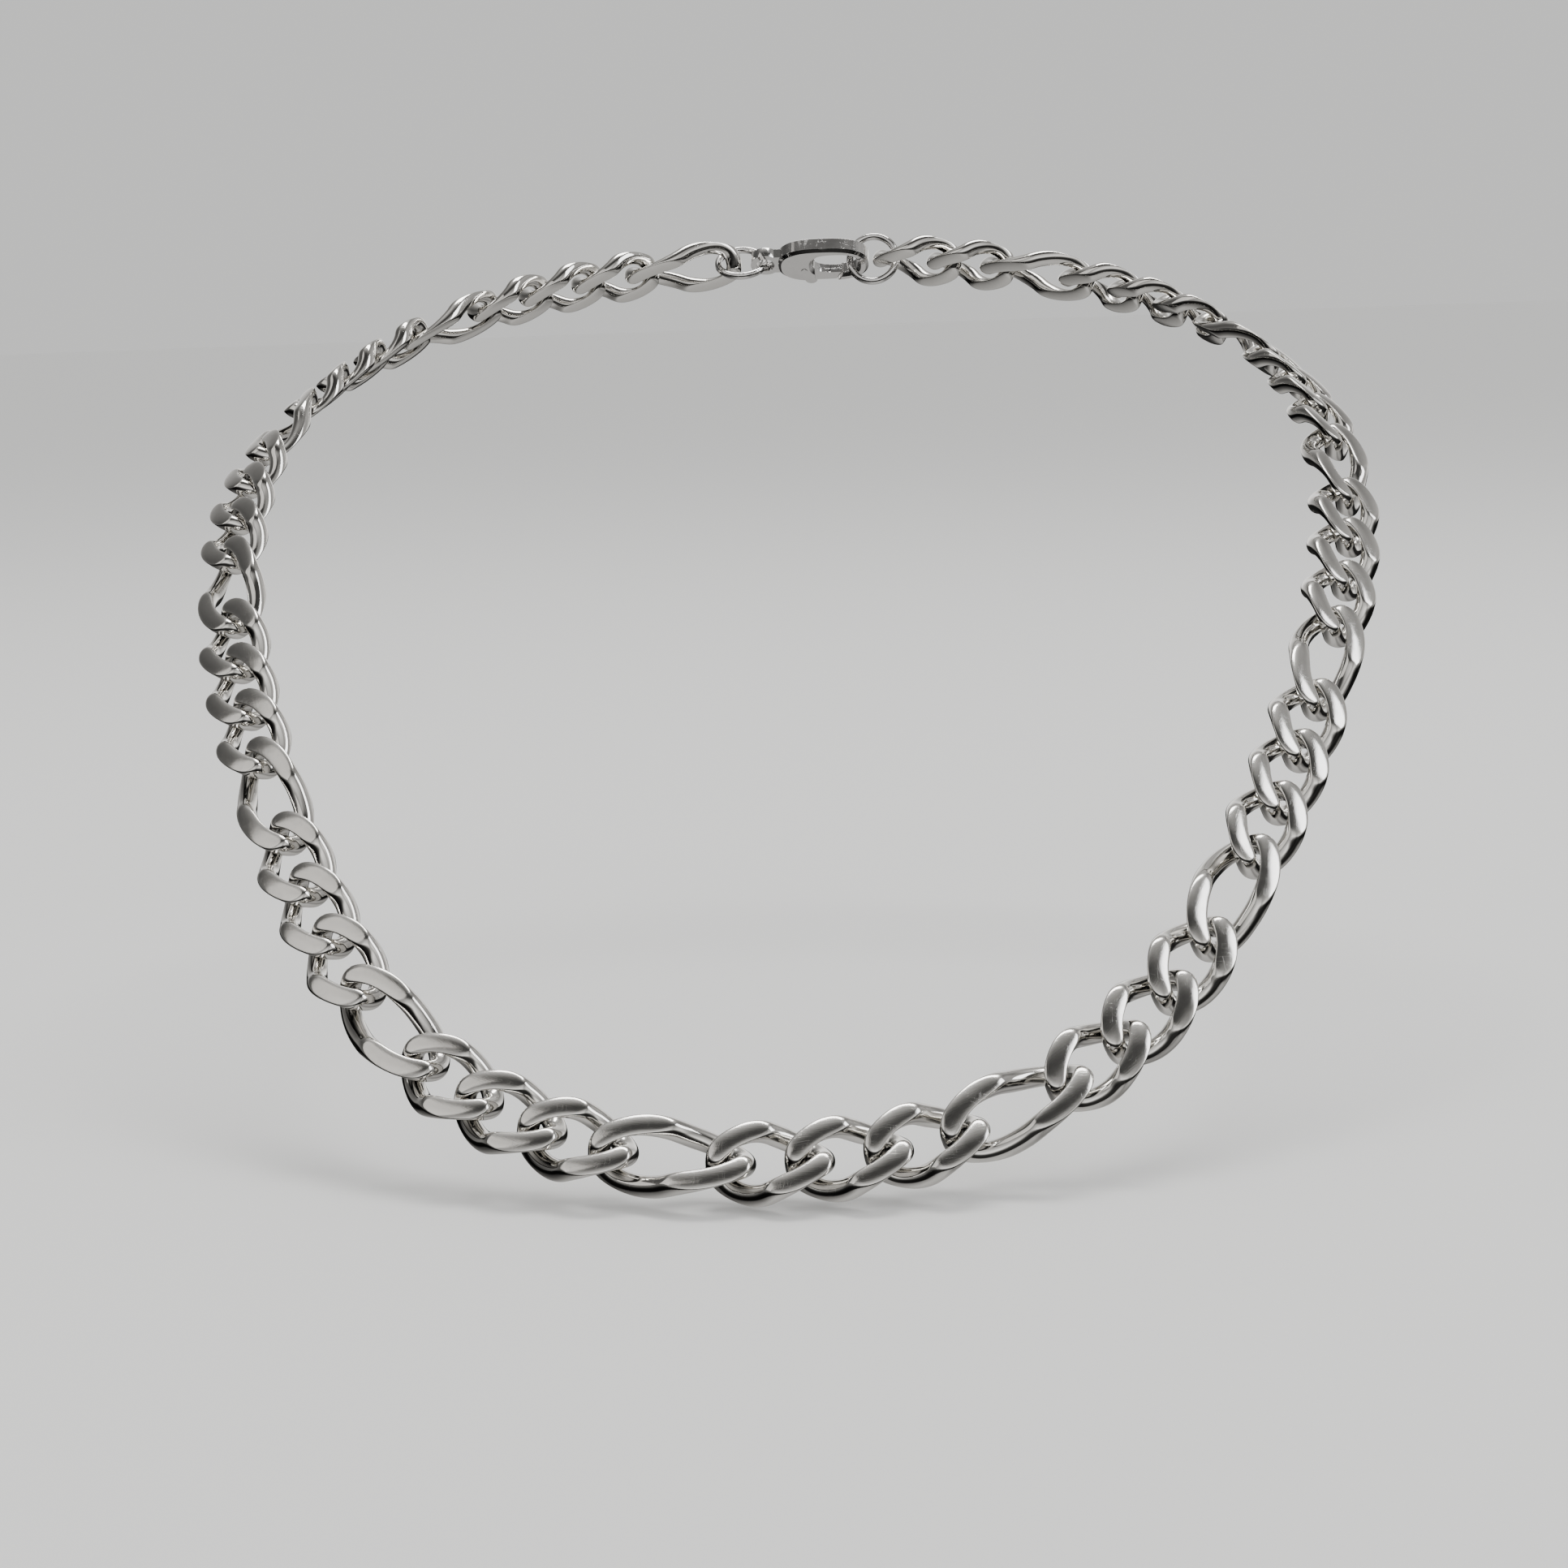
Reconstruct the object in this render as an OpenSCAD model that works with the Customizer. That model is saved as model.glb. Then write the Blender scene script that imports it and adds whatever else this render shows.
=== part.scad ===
// Figaro chain necklace, closed, in the drape that it takes on a neck.
// The origin is the nape, +Z is up and the chest is towards -Y. Millimetres.

/* [Links] */
// Diameter of the wire that the links are bent from
wire_d = 2.4; // [2:0.1:2.5]
// Distance from one interlock to the next along a short link
short_pitch = 8.4; // [8:0.1:11]
// Distance from one interlock to the next along a long link
long_pitch = 12.8; // [10:0.1:16]
// Free play of two links along the chain
link_slack = 0.55; // [0.45:0.05:0.9]
// Width across a short link
chain_w = 9.4; // [9.2:0.1:11.5]
// How much narrower a long link is
long_trim = 0.4; // [0.2:0.1:0.6]
// Fullness of a link's corners, where 2 is an ellipse
link_fullness = 2.4; // [2.2:0.1:2.8]
// Turn of each end of a link away from its middle
end_twist = 51; // [48:1:54]
// Distance between the two ground faces of the chain
chain_t = 3.1; // [2.8:0.1:4.4]

/* [Rings] */
// Diameter of the two jump rings' wire
ring_wire_d = 1.2; // [0.9:0.1:1.5]
// Free play beside what a jump ring holds
ring_slack = 0.65; // [0.5:0.05:0.8]
// Lean of a jump ring from upright
ring_lean = 18; // [12:1:22]

/* [Clasp] */
// Distance between the two places where the clasp holds its rings
clasp_reach = 15; // [13:0.1:18]
// Width across the clasp's body
clasp_w = 7.6; // [7:0.1:9.6]
// Thickness of the clasp's body
clasp_t = 2.8; // [2.6:0.1:3.1]
// Wall of the clasp's jaw
jaw_wall = 1.6; // [1.3:0.1:1.9]
// Thickness of the lever
lever_t = 1.5; // [1.3:0.1:1.7]
// Gap on each side of the lever
lever_gap = 0.15; // [0.1:0.05:0.25]
// Radius of the rivet that the lever turns on
pin_r = 0.5; // [0.4:0.05:0.6]
// Radial gap between the rivet and the lever
pin_gap = 0.06; // [0.03:0.01:0.1]

/* [Hidden] */
// The half of the drape from the front to the nape: x, y, z and the lean of the chain's face in degrees.
// The points steer a smooth cubic curve, and the whole loop is scaled to the chain's length.
drape = [[0, -1, -1, 45], [25.5, 2.5, 1.5, 48], [44.5, 15, 12, 54], [56, 32, 27, 60],
         [65.5, 50, 42.5, 64], [71.5, 69, 57, 66], [73, 90.5, 70.5, 66], [66.5, 112.5, 80.5, 62],
         [52, 131, 89, 57], [28.5, 141.5, 94.5, 53], [0, 145, 96.5, 52]];
// Depth of the neck's middle behind the front of the drape, as a share of the drape's depth
neck_share = 0.48;

link_count = 51;
front_link = 26;
pattern = 4;
steel = [0.80, 0.80, 0.81];
bright = [0.88, 0.88, 0.89];

wire_r = wire_d / 2;
ring_wire_r = ring_wire_d / 2;
end_len = (short_pitch + link_slack) / 2 + wire_r;

function pad(i) = i < 10 ? str("0", i) : str(i);
function link_name(i) = str("link_", pad(i));
function is_long(i) = (i - 1) % pattern == 0;
function pitch(i) = is_long(i) ? long_pitch : short_pitch;

// A ring's hole takes a link's wire, the clasp's wall and its free play on both sides
ring_hole = wire_d + jaw_wall + 3 * ring_slack;
ring_pitch = ring_hole - ring_slack;
ring_mean_r = (ring_hole + ring_wire_d) / 2;

// Distances along the loop from the front, rising towards +X. The front link reaches a little further
// to +X, so that the long links of the two sides are level with each other in pairs.
front_shift = (long_pitch - short_pitch) / 4;
function add_up(from, to) = from > to ? 0 : pitch(from) + add_up(from + 1, to);
starts = [for (i = 1, s = front_shift - short_pitch / 2 - add_up(1, front_link - 1);
               i <= link_count + 1; s = s + pitch(i), i = i + 1) s];
tail_end = starts[0];
hook_end = starts[link_count];
loop_len = hook_end - tail_end + 2 * ring_pitch + clasp_reach;

// The closed cubic curve through the drape and its mirror image
last = len(drape) - 1;
steps = 24;
loop_points = [for (p = drape) p, for (i = [last - 1:-1:1]) let (p = drape[i]) [-p.x, p.y, p.z, p[3]]];
points = len(loop_points);
function steer(i) = loop_points[(i + points) % points];
function curve(i, t) = (pow(1 - t, 3) * steer(i - 1) + (3 * pow(t, 3) - 6 * t * t + 4) * steer(i)
    + (3 * t * t - 3 * pow(t, 3) + 3 * t + 1) * steer(i + 1) + pow(t, 3) * steer(i + 2)) / 6;
samples = [for (i = [0:points * steps]) curve(floor(i / steps), (i % steps) / steps)];
function place(p) = [p.x, p.y, p.z];
travelled = [for (i = 0, s = 0; i <= points * steps;
                  s = s + (i < points * steps ? norm(place(samples[i + 1]) - place(samples[i])) : 0),
                  i = i + 1) s];
grow = loop_len / travelled[points * steps];
tables = [for (k = [0:3]) [for (i = [0:points * steps])
    [grow * travelled[i], samples[i][k] * (k < 3 ? grow : 1)]]];
nape = [0, lookup(loop_len / 2, tables[1]), lookup(loop_len / 2, tables[2])];
front = [0, lookup(0, tables[1]), lookup(0, tables[2])];
neck_middle = [0, front.y + neck_share * (nape.y - front.y), 0];

function wrap(u) = u < 0 ? u + loop_len : u >= loop_len ? u - loop_len : u;
function at(u) = [for (k = [0:3]) lookup(wrap(u), tables[k])];

// The frame of a piece that lies between two places on the loop: its x runs along the chain, its z
// points away from the body and its y is across the chain, towards the inside of the loop
function unit(v) = v / norm(v);
function lie(from, to) =
    let (a = at(from), b = at(to), m = (a + b) / 2, x = unit(place(b) - place(a)),
         out = unit([m.x, m.y - neck_middle.y, 0]) * cos(m[3]) + [0, 0, sin(m[3])],
         z = unit(out - x * (out * x)), y = cross(z, x), o = place(m) - nape)
    [[x.x, y.x, z.x, o.x], [x.y, y.y, z.y, o.y], [x.z, y.z, z.z, o.z], [0, 0, 0, 1]];

// ---- links ----
// The wire's middle line is a full oval, parted at its middle on a long link. It turns about the link's
// length by end_twist at each end, the other way at the other end.
twist_power = 0.8;
function swell(v) = sign(v) * pow(abs(v), 2 / link_fullness);

wire_sides = 8;
end_rings = 10;
round_up = 1 / sqrt(cos(180 / wire_sides));

module curb_link(long) {
    stretch = long ? (long_pitch - short_pitch) / 2 : 0;
    reach = end_len + stretch;
    half_w = (chain_w - wire_d - (long ? long_trim : 0)) / 2;
    angles = long ? [for (h = [0, 180], i = [0:end_rings]) h - 90 + i * 180 / end_rings]
                  : [for (i = [0:2 * end_rings - 1]) (i + 0.5) * 180 / end_rings];
    rings = len(angles);
    middle = [for (i = [0:rings - 1])
        let (t = angles[i], x = end_len * swell(cos(t)) + (long ? (i <= end_rings ? stretch : -stretch) : 0),
             w = half_w * swell(sin(t)),
             turn = -end_twist * sign(x) * pow(abs(x) / reach, twist_power))
        [x, w * cos(turn), w * sin(turn), turn]];
    skin = [for (i = [0:rings - 1])
        let (c = middle[i], ahead = middle[(i + 1) % rings], behind = middle[(i + rings - 1) % rings],
             along = unit(place(ahead) - place(behind)), up = [0, -sin(c[3]), cos(c[3])],
             n = unit(up - along * (up * along)), s = cross(along, n))
        for (k = [0:wire_sides - 1])
            let (a = (k + 0.5) * 360 / wire_sides,
                 p = place(c) + wire_r * round_up * (cos(a) * s + sin(a) * n))
            [p.x, p.y, max(-chain_t / 2, min(chain_t / 2, p.z))]];
    faces = [for (i = [0:rings - 1], k = [0:wire_sides - 1])
        let (j = (i + 1) % rings, l = (k + 1) % wire_sides)
        each [[i * wire_sides + k, j * wire_sides + l, j * wire_sides + k],
              [i * wire_sides + k, i * wire_sides + l, j * wire_sides + l]]];
    polyhedron(points = skin, faces = faces);
}

module link(i) {
    color(is_long(i) ? bright : steel)
        multmatrix(lie(starts[i - 1], starts[i])) curb_link(is_long(i));
}

// ---- jump rings ----
module jump_ring(lean) {
    rotate([lean, 0, 0]) rotate_extrude($fn = 96) translate([ring_mean_r, 0]) circle(ring_wire_r, $fn = 48);
}

module tail_ring() {
    color(steel) multmatrix(lie(tail_end - ring_pitch, tail_end)) jump_ring(-90 + ring_lean);
}

module end_ring() {
    color(steel) multmatrix(lie(hook_end, hook_end + ring_pitch)) jump_ring(90 - ring_lean);
}

// ---- clasp ----
// Drawn with its x from the eye to the hook and its z away from the neck. Places in it are measured
// from the middle of its reach.
eye_hold = -clasp_reach / 2 - ring_slack / 2;
hook_hold = clasp_reach / 2 + ring_slack / 2;
eye_hole_r = ring_wire_r + 0.8;
eye_wall = 0.85;
eye_r = eye_hole_r + eye_wall;
eye_x = eye_hold + eye_hole_r;
eye_t = 1.6;
eye_neck = 0.6;
eye_root_half = eye_r * 0.8;
body_back = eye_x + eye_hole_r + eye_neck;
body_front = hook_hold + jaw_wall;
jaw_len = 7.1;
jaw_back = hook_hold - jaw_len;
jaw_half = clasp_w / 2 - jaw_wall;
mouth_low = clasp_w * 0.12;
tip_x = hook_hold - 3.3;
tip_slope = 0.6;
tip_gap = 0.2;
fullness = 2.6;
edge = 0.45;
// how far a cut runs past the face that it opens, and past a bevel that it meets
cut_past = 1;
bevel_past = 0.005;

pin_x = jaw_back - 1.2;
pin_y = clasp_w * 0.13;
root_r = 1.3;
root_gap = 0.1;
knob_r = 0.95;
knob_x = pin_x + 0.9;
tail_len = 2.1;
tail_h = 0.9;
tail_top = pin_y - root_gap;
rivet_head = 0.1;
pocket_gap = 0.35;
pocket_floor = -0.5;
pocket_roof = 2.1;
spring_gap = 0.06;

// An oval with full corners, from x0 to x1 and half_h to each side
function oval(x0, x1, half_h, n = 72) = [for (i = [0:n - 1])
    let (t = (i + 0.5) * 360 / n, c = cos(t), s = sin(t))
    [(x0 + x1) / 2 + (x1 - x0) / 2 * sign(c) * pow(abs(c), 2 / fullness),
     half_h * sign(s) * pow(abs(s), 2 / fullness)]];

// A plate of that oval with a bevel round both faces; a bevel below zero flares it
module bevelled(x0, x1, half_h, t, bevel, n = 72) {
    deep = t / 2 - abs(bevel);
    layers = [[-t / 2, bevel], [-deep, 0], [deep, 0], [t / 2, bevel]];
    top = (len(layers) - 1) * n;
    polyhedron(points = [for (l = layers) each [for (p = oval(x0 + l[1], x1 - l[1], half_h - l[1], n))
                   [p.x, p.y, l[0]]]],
               faces = [[for (i = [0:n - 1]) i], [for (i = [n - 1:-1:0]) top + i],
                        for (l = [0:len(layers) - 2], i = [0:n - 1]) let (j = (i + 1) % n)
                            [l * n + i, (l + 1) * n + i, (l + 1) * n + j, l * n + j]]);
}

module slab(t) { translate([0, 0, -t / 2]) linear_extrude(t) children(); }

// The side of the jaw that the lever closes, up to the slanted face of the hook's tip
module mouth_shape(short) {
    back = jaw_back + pocket_gap;
    tip = tip_x - short;
    polygon([[back, mouth_low], [tip + tip_slope * (clasp_w / 2 - mouth_low), mouth_low],
             [tip - tip_slope * clasp_w / 2, clasp_w], [back, clasp_w]]);
}

module clasp_place() {
    multmatrix(lie(hook_end + ring_pitch, hook_end + ring_pitch + clasp_reach)) rotate(180) children();
}

module rivet_hole(r) {
    translate([pin_x, pin_y, -clasp_t]) cylinder(h = 2 * clasp_t, r = r, $fn = 48);
}

module clasp_body() {
    pocket_t = lever_t + 2 * lever_gap;
    past = clasp_t + 2 * cut_past;
    tail_room = tail_len + pocket_gap;
    color(steel) clasp_place() difference() {
        union() {
            bevelled(body_back, body_front, clasp_w / 2, clasp_t, edge);
            slab(eye_t) translate([eye_x, 0]) circle(eye_r, $fn = 64);
            slab(eye_t) translate([eye_x, -eye_root_half]) square([eye_r + eye_neck, 2 * eye_root_half]);
        }
        bevelled(jaw_back, hook_hold, jaw_half, clasp_t + 2 * bevel_past, -edge);
        slab(past) mouth_shape(0);
        slab(pocket_t) translate([pin_x - tail_room, pocket_floor])
            square([jaw_back - pin_x + tail_room + cut_past, pocket_roof - pocket_floor]);
        slab(pocket_t) translate([pin_x - root_r, 0]) square([jaw_back - pin_x + root_r + cut_past, clasp_w]);
        slab(past) translate([eye_x, 0]) circle(eye_hole_r, $fn = 64);
        rivet_hole(pin_r);
    }
}

module clasp_lever() {
    color(bright) clasp_place() difference() {
        union() {
            slab(lever_t) intersection() {
                difference() {
                    polygon(oval(body_back, body_front, clasp_w / 2));
                    polygon(oval(jaw_back, hook_hold, jaw_half));
                }
                union() {
                    mouth_shape(tip_gap);
                    translate([pin_x, pin_y]) square([root_r * 2, clasp_w]);
                }
            }
            slab(lever_t) translate([pin_x, pin_y]) circle(root_r - root_gap, $fn = 48);
            slab(lever_t) translate([pin_x - tail_len, tail_top - tail_h]) square([tail_len, tail_h]);
            slab(lever_t) translate([knob_x, clasp_w / 2]) circle(knob_r, $fn = 48);
        }
        rivet_hole(pin_r + pin_gap);
    }
}

module clasp_pin() {
    length = clasp_t + 2 * rivet_head;
    color(bright) clasp_place() translate([pin_x, pin_y, -length / 2])
        cylinder(h = length, r = pin_r, $fn = 48);
}

// A coil between the lever's tail and the roof of the pocket
module clasp_spring() {
    coil_wire_r = 0.09;
    coil_r = 0.34;
    coil_x = pin_x - 1.78;
    turns = 3;
    per_turn = 16;
    sides = 6;
    count = turns * per_turn;
    low = tail_top + coil_wire_r + spring_gap;
    rise = pocket_roof - coil_wire_r - spring_gap - low;
    skin = [for (i = [0:count], k = [0:sides - 1])
        let (a = i * 360 / per_turn, b = k * 360 / sides, r = coil_r + coil_wire_r * cos(b))
        [coil_x + r * cos(a), low + rise * i / count + coil_wire_r * sin(b), r * sin(a)]];
    walls = [for (i = [0:count - 1], k = [0:sides - 1]) let (l = (k + 1) % sides)
        each [[i * sides + k, (i + 1) * sides + k, (i + 1) * sides + l],
              [i * sides + k, (i + 1) * sides + l, i * sides + l]]];
    ends = [for (k = [1:sides - 2]) each [[0, k, k + 1],
              [count * sides, count * sides + k + 1, count * sides + k]]];
    color(bright) clasp_place() polyhedron(points = skin, faces = concat(walls, ends));
}

for (i = [1:link_count]) link(i);
tail_ring();
end_ring();
clasp_body();
clasp_lever();
clasp_pin();
clasp_spring();
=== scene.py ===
import math

import bpy
import numpy as np
from mathutils import Matrix, Vector


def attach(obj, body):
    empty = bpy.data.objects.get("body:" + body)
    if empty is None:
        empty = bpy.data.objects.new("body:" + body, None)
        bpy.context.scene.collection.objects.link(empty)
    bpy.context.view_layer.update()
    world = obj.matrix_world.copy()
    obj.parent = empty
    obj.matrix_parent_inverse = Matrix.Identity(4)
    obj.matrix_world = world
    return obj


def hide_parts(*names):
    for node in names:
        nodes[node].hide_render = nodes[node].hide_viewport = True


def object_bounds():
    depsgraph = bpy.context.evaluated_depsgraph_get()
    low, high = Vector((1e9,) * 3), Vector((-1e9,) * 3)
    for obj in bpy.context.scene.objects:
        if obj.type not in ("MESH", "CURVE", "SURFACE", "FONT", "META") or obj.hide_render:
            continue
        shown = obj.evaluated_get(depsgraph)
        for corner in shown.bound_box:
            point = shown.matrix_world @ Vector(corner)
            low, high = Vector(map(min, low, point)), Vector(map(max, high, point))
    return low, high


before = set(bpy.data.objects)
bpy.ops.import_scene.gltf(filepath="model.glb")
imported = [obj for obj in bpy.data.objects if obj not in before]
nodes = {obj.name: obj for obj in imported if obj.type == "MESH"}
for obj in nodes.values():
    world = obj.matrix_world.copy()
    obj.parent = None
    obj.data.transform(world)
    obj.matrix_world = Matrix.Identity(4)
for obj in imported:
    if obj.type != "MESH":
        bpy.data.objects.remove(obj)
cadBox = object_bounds()

mm = 0.001


def vec(values):
    return np.array(values, dtype=float)


def unit(v):
    return v / np.linalg.norm(v, axis=-1, keepdims=True)


# Where each CAD piece lies is read from its own corners
def corners(name):
    # each corner once, in metres, to a thousandth of a millimetre
    mesh = nodes[name].data
    co = np.empty(len(mesh.vertices) * 3, dtype=np.float32)
    mesh.vertices.foreach_get("co", co)
    return np.unique(np.round(co.reshape(-1, 3).astype(float), 6), axis=0)


def middleAndSpread(name):
    # the middle of the corners, and their main directions from the longest to the shortest
    co = corners(name)
    middle = co.mean(axis=0)
    _, axes = np.linalg.eigh((co - middle).T @ (co - middle))
    return middle, axes[:, ::-1].T


outwardRise = 0.08      # metres, so that the inner side of the loop looks down as well as in

linkNames = sorted(name for name in nodes if name.startswith("link_"))
chain = [middleAndSpread(name) for name in linkNames]
spots = np.array([middle for middle, _ in chain])
loopMiddle = (spots.min(axis=0) + spots.max(axis=0)) / 2


def linkAxes(i):
    # x towards the next link, z away from the neck, y = cross(z, x)
    x, _, z = chain[i][1]
    ahead = spots[min(i + 1, len(spots) - 1)] - spots[max(i - 1, 0)]
    x = x if x @ ahead > 0 else -x
    outward = spots[i] - loopMiddle + vec((0, 0, outwardRise))
    z = z if z @ outward > 0 else -z
    return np.array([x, np.cross(z, x), z])


def gridFaces(rows, columns):
    # quads of a grid of points that closes on itself both ways
    r = np.arange(rows)[:, None]
    c = np.arange(columns)[None, :]
    nextR = (r + 1) % rows
    nextC = (c + 1) % columns
    return np.stack([r * columns + c, r * columns + nextC, nextR * columns + nextC, nextR * columns + c],
                    axis=-1).reshape(-1, 4)


def newPiece(name, points, faces, body, material, replaced, maps=None, numbers=None):
    mesh = bpy.data.meshes.new(name)
    mesh.from_pydata(points.reshape(-1, 3), [], [tuple(f) for f in faces.tolist()])
    mesh.shade_smooth()
    for mapName, uv in (maps or {}).items():
        layer = mesh.uv_layers.new(name=mapName)
        corner = np.empty(len(mesh.loops), dtype=np.int32)
        mesh.loops.foreach_get("vertex_index", corner)
        layer.data.foreach_set("uv", uv.reshape(-1, 2)[corner].astype(np.float32).ravel())
    for attributeName, values in (numbers or {}).items():
        mesh.attributes.new(attributeName, "FLOAT", "POINT").data.foreach_set(
            "value", values.astype(np.float32).ravel())
    mesh.materials.append(material)
    piece = bpy.data.objects.new(name, mesh)
    bpy.context.scene.collection.objects.link(piece)
    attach(piece, body)
    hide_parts(*replaced)


def addNode(tree, kind, inputs=None, **settings):
    node = tree.nodes.new(kind)
    for key, value in settings.items():
        setattr(node, key, value)
    for key, value in (inputs or {}).items():
        if isinstance(value, bpy.types.NodeSocket):
            tree.links.new(value, node.inputs[key])
        else:
            node.inputs[key].default_value = value
    return node


def arithmetic(tree, operation, a, b=0.0, c=0.0, clamp=False):
    node = addNode(tree, "ShaderNodeMath", {0: a, 1: b, 2: c}, operation=operation, use_clamp=clamp)
    return node.outputs[0]


# The scales are per metre, and the grain's are per millimetre along and across the link
finishLook = {
    "smearScale": 420.0,
    "smearDetail": 4.0,
    "smearRoughness": 0.6,
    "waveScale": 380.0,                 # the unevenness of hand-polished wire
    "waveDetail": 1.0,
    "fineScale": 5200.0,
    "fineDetail": 2.0,
    "grainScale": (0.35, 7.0, 1.0),
    "grainDetail": 5.0,
    "grainRoughness": 0.75,
    "scratchScales": ((110.0, 1700.0, 420.0), (1500.0, 130.0, 380.0)),
    "scratchTurns": ((0.3, 0.6, 0.42), (0.3, 2.2, 1.54)),   # radians
    "scratchBend": 0.8,
    "scratchWidth": 0.007,
    "scratchPatches": (0.45, 0.6),      # smear values between which scratches appear
    "roughBy": {"smears": 0.3, "grain": 0.08, "scratches": 0.05},
    "smearDark": 0.5,
    # how much painted shade darkens the hollows where links meet
    "hollowShadeDark": 0.55,
    "fineHeight": 0.05,
}


def wornAndShadedMetalGroup():
    # One finish for every metal piece. The ground faces get fine straight grain, the round wire gets
    # a polish with faint smears, and both get hairline scratches.
    # The hollows where links meet are darkened with painted shade.
    look = finishLook
    group = bpy.data.node_groups.new("wornAndShadedMetal", "ShaderNodeTree")
    wanted = [
        ("Metal Colour", "NodeSocketColor", (0.7, 0.7, 0.7, 1)),
        ("Polish Roughness", "NodeSocketFloat", 0.1),
        ("Ground Roughness", "NodeSocketFloat", 0.2),
        ("Ground", "NodeSocketFloat", 0.0),
        ("Grain Place", "NodeSocketVector", (0, 0, 0)),
        ("Grain Depth", "NodeSocketFloat", 0.3),
        ("Scratch Depth", "NodeSocketFloat", 0.3),
        ("Smear", "NodeSocketFloat", 0.3),
        # mask of the hollows where links meet, darkened with painted shade
        ("Hollow Shade", "NodeSocketFloat", 0.0),
        ("Waves", "NodeSocketFloat", 1.0),
    ]
    for name, kind, value in wanted:
        socket = group.interface.new_socket(name, in_out="INPUT", socket_type=kind)
        socket.default_value = value
    for name, kind in (("Colour", "NodeSocketColor"), ("Roughness", "NodeSocketFloat"),
                       ("Height", "NodeSocketFloat")):
        group.interface.new_socket(name, in_out="OUTPUT", socket_type=kind)
    given = addNode(group, "NodeGroupInput").outputs
    place = addNode(group, "ShaderNodeTexCoord").outputs["Object"]

    def noise(vector, scale, detail, **more):
        inputs = {"Vector": vector, "Scale": scale, "Detail": detail, **more}
        return addNode(group, "ShaderNodeTexNoise", inputs).outputs["Fac"]

    smears = noise(place, look["smearScale"], look["smearDetail"], Roughness=look["smearRoughness"])
    fine = noise(place, look["fineScale"], look["fineDetail"])
    waves = noise(place, look["waveScale"], look["waveDetail"])

    # grain: noise drawn out along the link
    drawn = addNode(group, "ShaderNodeMapping", {"Vector": given["Grain Place"], "Scale": look["grainScale"]})
    grain = noise(drawn.outputs[0], 1.0, look["grainDetail"], Roughness=look["grainRoughness"])
    grainOn = arithmetic(group, "MULTIPLY", grain, given["Ground"])

    # hairline scratches: the thin bands where two stretched noises pass their middle value
    lines = []
    for turn, stretch in zip(look["scratchTurns"], look["scratchScales"]):
        mapped = addNode(group, "ShaderNodeMapping", {"Vector": place, "Rotation": turn, "Scale": stretch})
        bent = noise(mapped.outputs[0], 1.0, 0.0, Distortion=look["scratchBend"])
        band = arithmetic(group, "ABSOLUTE", arithmetic(group, "SUBTRACT", bent, 0.5))
        inputs = {"Value": band, "From Max": look["scratchWidth"], "To Min": 1.0, "To Max": 0.0}
        lines.append(addNode(group, "ShaderNodeMapRange", inputs).outputs[0])
    patches = addNode(group, "ShaderNodeMapRange", {"Value": smears, "From Min": look["scratchPatches"][0],
                                                    "From Max": look["scratchPatches"][1]}).outputs[0]
    scratches = arithmetic(group, "MULTIPLY", arithmetic(group, "MAXIMUM", *lines), patches)

    smearOn = arithmetic(group, "MULTIPLY", arithmetic(group, "SUBTRACT", smears, 0.5), given["Smear"])
    base = addNode(group, "ShaderNodeMix", {0: given["Ground"], 2: given["Polish Roughness"],
                                            3: given["Ground Roughness"]}, data_type="FLOAT").outputs[0]
    rough = arithmetic(group, "MULTIPLY_ADD", smearOn, look["roughBy"]["smears"], base)
    rough = arithmetic(group, "MULTIPLY_ADD", grainOn, look["roughBy"]["grain"], rough)
    rough = arithmetic(group, "MULTIPLY_ADD", scratches, look["roughBy"]["scratches"], rough, clamp=True)

    # painted shade: the hollows, where links meet, are darkened
    dark = arithmetic(group, "MULTIPLY_ADD", arithmetic(group, "ABSOLUTE", smearOn), -look["smearDark"], 1.0)
    paintedShade = arithmetic(group, "MULTIPLY_ADD", given["Hollow Shade"], -look["hollowShadeDark"], 1.0)
    dark = arithmetic(group, "MULTIPLY", dark, paintedShade)
    colour = addNode(group, "ShaderNodeVectorMath", {0: given["Metal Colour"], "Scale": dark},
                     operation="SCALE").outputs[0]

    scratched = arithmetic(group, "MULTIPLY", scratches, given["Scratch Depth"])
    height = arithmetic(group, "MULTIPLY", grainOn, given["Grain Depth"])
    height = arithmetic(group, "SUBTRACT", height, scratched)
    height = arithmetic(group, "MULTIPLY_ADD", fine, look["fineHeight"], height)
    height = arithmetic(group, "MULTIPLY_ADD", waves, given["Waves"], height)
    addNode(group, "NodeGroupOutput", {"Colour": colour, "Roughness": rough, "Height": height})
    return group


wornAndShadedMetal = wornAndShadedMetalGroup()


# Depths are shares of the bump, which is in metres. Only the links have ground faces with grain, and hollows
# with painted shade.
metalLook = {
    "linkSteel": dict(colour=(0.86, 0.845, 0.815), polish=0.05, ground=0.08, grain=0.4, scratches=0.12,
                      smears=0.4, waves=1.3, bump=0.00003),
    "ringSteel": dict(colour=(0.83, 0.82, 0.81), polish=0.08, scratches=0.15, smears=0.3, waves=0.8,
                      bump=0.00003),
    "claspSteel": dict(colour=(0.82, 0.81, 0.80), polish=0.1, scratches=0.2, smears=0.4, waves=0.8,
                       bump=0.00003),
    "springSteel": dict(colour=(0.55, 0.55, 0.56), polish=0.2, scratches=0.2, smears=0.3, waves=0.5,
                        bump=0.00002),
}
bumpStrength = 0.5
finishInputs = {"polish": "Polish Roughness", "ground": "Ground Roughness", "grain": "Grain Depth",
                "scratches": "Scratch Depth", "smears": "Smear", "waves": "Waves"}


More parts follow.
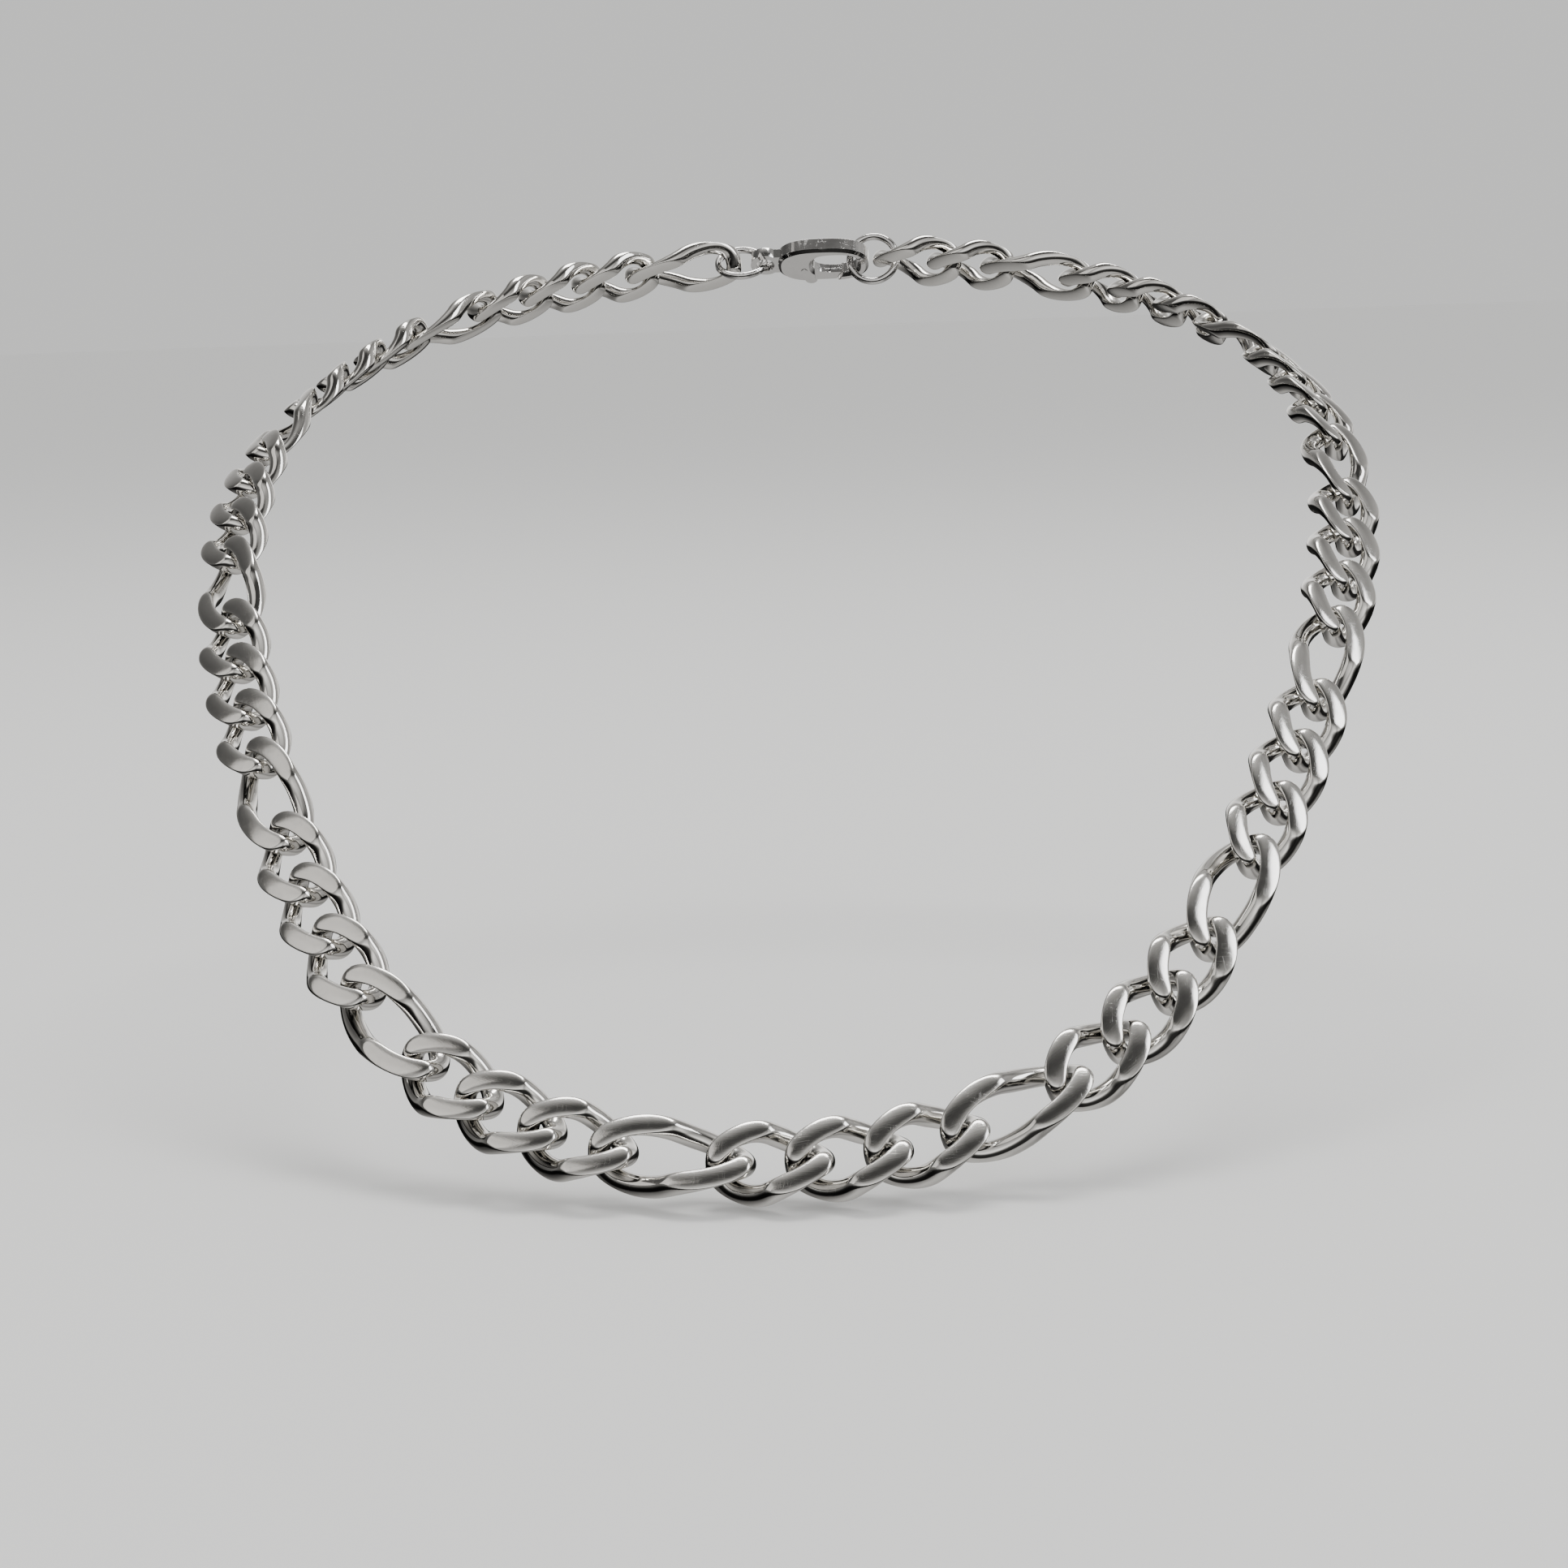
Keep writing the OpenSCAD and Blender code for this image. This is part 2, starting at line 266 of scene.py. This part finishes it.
def metal(name):
    look = metalLook[name]
    material = bpy.data.materials.new(name)
    material.use_nodes = True
    tree = material.node_tree
    shader = tree.nodes["Principled BSDF"]
    shader.inputs["Metallic"].default_value = 1.0
    finish = addNode(tree, "ShaderNodeGroup", node_tree=wornAndShadedMetal)
    finish.inputs["Metal Colour"].default_value = (*look["colour"], 1)
    for key, socket in finishInputs.items():
        if key in look:
            finish.inputs[socket].default_value = look[key]
    if "ground" in look:
        ground = addNode(tree, "ShaderNodeAttribute", attribute_name="ground")
        # the hollow mask darkens the colour there as painted shade
        hollowShade = addNode(tree, "ShaderNodeAttribute", attribute_name="hollowShade")
        place = addNode(tree, "ShaderNodeUVMap", uv_map="grainPlace")
        tree.links.new(ground.outputs["Fac"], finish.inputs["Ground"])
        tree.links.new(hollowShade.outputs["Fac"], finish.inputs["Hollow Shade"])
        tree.links.new(place.outputs["UV"], finish.inputs["Grain Place"])
    bump = addNode(tree, "ShaderNodeBump", {"Height": finish.outputs["Height"], "Strength": bumpStrength,
                                            "Distance": look["bump"]})
    tree.links.new(finish.outputs["Colour"], shader.inputs["Base Color"])
    tree.links.new(finish.outputs["Roughness"], shader.inputs["Roughness"])
    tree.links.new(bump.outputs["Normal"], shader.inputs["Normal"])
    return material


linkSteel, ringSteel, claspSteel, springSteel = (metal(name) for name in metalLook)
print("materials ready")


# Lengths in millimetres, angles in degrees
linkLook = {
    "wire": 2.4,            # diameter of the wire
    "width": 9.4,           # outside width of a short link
    "longTrim": 0.4,        # how much narrower a long link is
    "endLength": 5.675,     # from the middle of the oval to its wire's middle line at the end
    "longStretch": 2.2,     # how far a long link's two halves are parted, each way
    "fullness": 2.4,        # of the oval's corners, where 2 is an ellipse
    "endTwist": 51,         # turn of the link's end
    "twistPower": 0.8,      # of the place along the link, in its turn there
    "twistSoft": 0.01,      # eases the turn at the link's middle
    "thickness": 2.95,      # between the edges of the two ground faces
    "edge": 0.1,            # softness of the ground faces' edges
    "crown": 0.19,          # share of the wire's roundness that a ground face keeps
    "groundFade": 0.15,     # height over which the grain starts at the edge of a ground face
    "hollowReach": 1.6,     # how far from the link's end its hollow starts
    "hollowFade": 1.2,
    "hollowFrom": 0.4,      # share of the wire that is outside the hollow
    "ovalStep": 0.25,       # degrees between the oval's points, before they are spaced evenly
    "longEvery": 4,         # the first link of each group is long
    "grainShift": (17, 5),  # from one link's grain to the next one's
    "along": 144,           # points along the wire
    "around": 48,           # points round the wire
}


def softTop(z, top, soft):
    # smooth lesser of z and top: -soft * log(exp(-z / soft) + exp(-top / soft))
    return -soft * np.logaddexp(-z / soft, -top / soft)


def evenly(points, count):
    # the closed line through the points, as count points at equal distances along it
    closed = np.vstack([points, points[:1]])
    travelled = np.concatenate([[0], np.cumsum(np.linalg.norm(np.diff(closed, axis=0), axis=1))])
    wanted = np.arange(count) / count * travelled[-1]
    return np.stack([np.interp(wanted, travelled, column) for column in closed.T], axis=1)


def linkShape(isLong):
    # Middle line: (x, w cos a, w sin a), where (x, w) runs round a full oval,
    # |x / L| ^ n + |w / W| ^ n = 1, and a turns by endTwist towards each end.
    # A long link has straight sides between its two half ovals.
    look = linkLook
    stretch = look["longStretch"] if isLong else 0.0
    reach = look["endLength"] + stretch
    halfWidth = (look["width"] - look["wire"] - (look["longTrim"] if isLong else 0)) / 2
    t = np.radians(np.arange(look["ovalStep"] / 2, 360, look["ovalStep"]))
    swell = lambda v: np.sign(v) * np.abs(v) ** (2 / look["fullness"])
    oval = np.stack([look["endLength"] * swell(np.cos(t)) + stretch * np.sign(np.cos(t)),
                     halfWidth * swell(np.sin(t))], axis=1)
    x, w = evenly(oval, look["along"]).T
    q = x / reach
    turn = np.radians(-look["endTwist"]) * q / (q * q + look["twistSoft"]) ** ((1 - look["twistPower"]) / 2)
    middle = np.stack([x, w * np.cos(turn), w * np.sin(turn)], axis=1)
    along = unit(np.roll(middle, -1, axis=0) - np.roll(middle, 1, axis=0))
    up = np.stack([0 * x, -np.sin(turn), np.cos(turn)], axis=1)
    n = unit(up - along * (up * along).sum(axis=1, keepdims=True))
    s = np.cross(along, n)
    a = 2 * np.pi * np.arange(look["around"]) / look["around"]
    points = middle[:, None] + look["wire"] / 2 * (np.cos(a)[None, :, None] * s[:, None]
                                                   + np.sin(a)[None, :, None] * n[:, None])
    top = look["thickness"] / 2
    rawZ = points[:, :, 2].copy()
    z = -softTop(-softTop(rawZ, top, look["edge"]), top, look["edge"])
    points[:, :, 2] = z + look["crown"] * (rawZ - z)
    ground = np.clip((np.abs(rawZ) - top) / look["groundFade"] + 0.5, 0, 1)
    # the inner side of each end, where the next link rubs, which is darkened with painted shade
    hollowX = reach - look["wire"] * look["hollowFrom"]
    inner = np.clip((hollowX - np.abs(points[:, :, 0])) * 2 / look["hollowReach"], 0, 1)
    near = np.clip((np.abs(middle[:, 0]) - reach + look["hollowReach"]) / look["hollowFade"], 0, 1)
    return points, ground, inner * near[:, None] * (1 - ground)


shapes = {isLong: linkShape(isLong) for isLong in (False, True)}
linkFaces = gridFaces(linkLook["along"], linkLook["around"])

for i, name in enumerate(linkNames):
    isLong = i % linkLook["longEvery"] == 0
    local, ground, hollowShade = shapes[isLong]
    points = chain[i][0] + local @ linkAxes(i) * mm
    newPiece("fine_" + name, points, linkFaces, name, linkSteel, replaced=[name],
             maps={"grainPlace": local[:, :, :2] + i * vec(linkLook["grainShift"])},
             numbers={"ground": ground, "hollowShade": hollowShade})
print("links ready:", len(linkNames))


ringLook = {
    "wire": 1.2,        # diameter of the wire, mm
    "worn": 0.05,       # how much the wire has lost in radius where it rubs, mm
    "cut": 0.05,        # width of the ring's cut, mm
    "cutDepth": 0.28,   # share of the wire's radius
    "crowding": 0.9,    # of the rows towards the cut
    "cutAt": {"tail_ring": 1.1, "end_ring": 2.0},   # radians round each ring
    "along": 128,
    "around": 24,
}


def ring(name, cutAt):
    middle, (x, y, axis) = middleAndSpread(name)
    co = corners(name) - middle
    outer = np.linalg.norm(co - np.outer(co @ axis, axis), axis=1).max()
    wireR = ringLook["wire"] / 2 * mm
    meanR = outer - wireR
    t = cutAt + 2 * np.pi * np.arange(ringLook["along"]) / ringLook["along"]
    # the rows crowd towards the cut: t' = t - crowding sin t about it
    t = t - ringLook["crowding"] * np.sin(t - cutAt)
    a = 2 * np.pi * np.arange(ringLook["around"]) / ringLook["around"]
    # the wire dips at the cut: r = R (1 - cutDepth exp(-(s / cut)^2))
    s = meanR * np.minimum(t - cutAt, 2 * np.pi - (t - cutAt))
    dip = ringLook["cutDepth"] * np.exp(-(s / (ringLook["cut"] * mm)) ** 2)
    r = (wireR - ringLook["worn"] * mm) * (1 - dip)
    radial = np.cos(t)[:, None] * x + np.sin(t)[:, None] * y
    points = middle + (meanR * radial)[:, None] + r[:, None, None] * (
        np.cos(a)[None, :, None] * radial[:, None] - np.sin(a)[None, :, None] * np.cross(x, y))
    newPiece("fine_" + name, points, gridFaces(ringLook["along"], ringLook["around"]), name,
             ringSteel, replaced=[name])


for name, cutAt in ringLook["cutAt"].items():
    ring(name, cutAt)
print("rings ready")


claspLook = {
    "bevels": {"clasp_body": 0.16, "clasp_lever": 0.1, "clasp_pin": 0.08},      # mm
    "bevelFrom": 35,        # degrees between two faces, above which their edge is softened
    "bevelSegments": 3,
    "weldWithin": 0.001,    # mm
}

for name in ("clasp_body", "clasp_lever", "clasp_pin", "clasp_spring"):
    piece = nodes[name]
    piece.data.materials.clear()
    piece.data.materials.append(springSteel if name == "clasp_spring" else claspSteel)
    if name in claspLook["bevels"]:
        weld = piece.modifiers.new("weld", "WELD")
        weld.merge_threshold = claspLook["weldWithin"] * mm
        soft = piece.modifiers.new("bevel", "BEVEL")
        soft.width = claspLook["bevels"][name] * mm
        soft.segments = claspLook["bevelSegments"]
        soft.limit_method = "ANGLE"
        soft.angle_limit = math.radians(claspLook["bevelFrom"])
        soft.harden_normals = False
print("clasp ready")


# The three ramps are pairs of a place along one axis of a direction, from -1 to 1, and the brightness there
stageLook = {
    "floorColour": (0.74, 0.74, 0.735),
    "floorRoughness": 0.85,
    "floorGap": 0.0006,         # metres below the lowest link
    "stageRadius": 60.0,        # metres
    "around": (1.0, 1.0, 0.99),
    "farPaper": (0.75, 0.75, 0.74),
    "roomTint": (1, 0.985, 0.96),
    "frontUpwards": ((-1, 0.6), (-0.62, 0.5), (-0.5, 0.02), (-0.1, 0.03), (0.06, 0.16), (0.28, 1.3),
                     (0.5, 0.9), (0.72, 0.6), (0.86, 0.06), (1, 0.03)),
    "backUpwards": ((-1, 0.5), (-0.5, 0.4), (-0.36, 0.02), (-0.08, 0.03), (0.02, 1.6), (0.2, 1.2),
                    (0.45, 0.6), (0.75, 0.4), (0.92, 1.1), (1, 1.2)),
    "leftToRight": ((-1, 0.1), (-0.75, 0.16), (-0.5, 0.4), (-0.15, 1), (0.3, 1), (0.5, 0.45), (0.72, 0.9),
                    (1, 0.2)),
    "frontToBack": (-0.35, 0.35),
    "lampAim": (0, -0.08, -0.05),
    "lamps": {                  # place in metres, width, height, watts, colour
        "over": ((0.05, 0.14, 0.92), 0.6, 0.3, 5, (1.0, 0.99, 0.97)),
        "key": ((-0.65, -0.45, 0.62), 0.6, 0.8, 1.1, (1.0, 0.97, 0.93)),
        "right": ((0.8, -0.3, 0.6), 0.35, 0.7, 3, (0.97, 0.98, 1.0)),
    },
}


def plainMaterial(name, colour, roughness):
    material = bpy.data.materials.new(name)
    material.use_nodes = True
    shader = material.node_tree.nodes["Principled BSDF"]
    shader.inputs["Base Color"].default_value = (*colour, 1)
    shader.inputs["Roughness"].default_value = roughness
    return material


floorZ = cadBox[0][2] - stageLook["floorGap"]
reach = stageLook["stageRadius"]
floorMesh = bpy.data.meshes.new("floor")
floorCorners = [(x * reach, y * reach, floorZ) for x, y in ((-1, -1), (1, -1), (1, 1), (-1, 1))]
floorMesh.from_pydata(floorCorners, [], [(0, 1, 2, 3)])
floorMesh.materials.append(plainMaterial("palePaper", stageLook["floorColour"], stageLook["floorRoughness"]))
floor = bpy.data.objects.new("floor", floorMesh)
bpy.context.scene.collection.objects.link(floor)

# The paper isn't mirrored in the metal, which instead sees a room whose brightness follows the height z
# of the direction. In front it is dark at the chain's own level, brightest a little above and dark
# overhead. Behind, it is bright from the chain's level up. Both are dimmer towards the left and right.
floor.visible_glossy = False
world = bpy.data.worlds.new("studio")
bpy.context.scene.world = world
world.use_nodes = True
worldTree = world.node_tree
worldTree.nodes.clear()
direction = addNode(worldTree, "ShaderNodeTexCoord").outputs["Generated"]
sides = addNode(worldTree, "ShaderNodeSeparateXYZ", {0: direction})
nearY, farY = stageLook["frontToBack"]
behind = addNode(worldTree, "ShaderNodeMapRange",
                 {"Value": sides.outputs["Y"], "From Min": nearY, "From Max": farY},
                 interpolation_type="SMOOTHSTEP").outputs[0]


def ramp(axis, stops, tint):
    place = arithmetic(worldTree, "MULTIPLY_ADD", sides.outputs[axis], 0.5, 0.5)
    node = addNode(worldTree, "ShaderNodeValToRGB", {0: place})
    elements = node.color_ramp.elements
    for at, value in stops:
        stop = elements[0] if at == -1 else elements[-1] if at == 1 else elements.new(0.5 + at / 2)
        stop.color = (*(value * part for part in tint), 1)
    return node.outputs[0]


def background(colour):
    return addNode(worldTree, "ShaderNodeBackground", {"Color": colour}).outputs[0]


frontSide = ramp("Z", stageLook["frontUpwards"], stageLook["roomTint"])
backSide = ramp("Z", stageLook["backUpwards"], stageLook["roomTint"])
across = ramp("X", stageLook["leftToRight"], (1, 1, 1))
room = addNode(worldTree, "ShaderNodeMix", {0: behind, 6: frontSide, 7: backSide},
               data_type="RGBA").outputs[2]
room = addNode(worldTree, "ShaderNodeMix", {0: 1.0, 6: room, 7: across}, data_type="RGBA",
               blend_type="MULTIPLY").outputs[2]
around = background((*stageLook["around"], 1))
farPaper = background((*stageLook["farPaper"], 1))
seen = addNode(worldTree, "ShaderNodeLightPath").outputs
lit = addNode(worldTree, "ShaderNodeMixShader",
              {0: seen["Is Glossy Ray"], 1: around, 2: background(room)}).outputs[0]
whole = addNode(worldTree, "ShaderNodeMixShader", {0: seen["Is Camera Ray"], 1: lit, 2: farPaper}).outputs[0]
addNode(worldTree, "ShaderNodeOutputWorld", {"Surface": whole})

for name, (place, width, height, watts, colour) in stageLook["lamps"].items():
    light = bpy.data.lights.new(name, "AREA")
    light.shape = "RECTANGLE"
    light.size, light.size_y = width, height
    light.energy = watts
    light.color = colour
    lamp = bpy.data.objects.new(name, light)
    lamp.location = place
    lamp.rotation_euler = (Vector(stageLook["lampAim"]) - Vector(place)).to_track_quat("-Z", "Y").to_euler()
    bpy.context.scene.collection.objects.link(lamp)

cameraLook = {
    "place": (0.0209, -0.4089, -0.0096),    # metres
    "yaw": 3.67,                            # degrees to the left of straight ahead
    "pitch": 9.99,                          # degrees downwards
    "roll": 2.02,
    "lens": 60,                             # millimetres
    "clip": 0.01,
}

camera = bpy.data.cameras.new("camera")
camera.lens = cameraLook["lens"]
camera.clip_start = cameraLook["clip"]
view = bpy.data.objects.new("camera", camera)
view.matrix_world = (Matrix.Translation(cameraLook["place"])
                     @ Matrix.Rotation(math.radians(cameraLook["yaw"]), 4, "Z")
                     @ Matrix.Rotation(math.radians(90 - cameraLook["pitch"]), 4, "X")
                     @ Matrix.Rotation(math.radians(-cameraLook["roll"]), 4, "Z"))
bpy.context.scene.collection.objects.link(view)
bpy.context.scene.camera = view
print("stage ready")
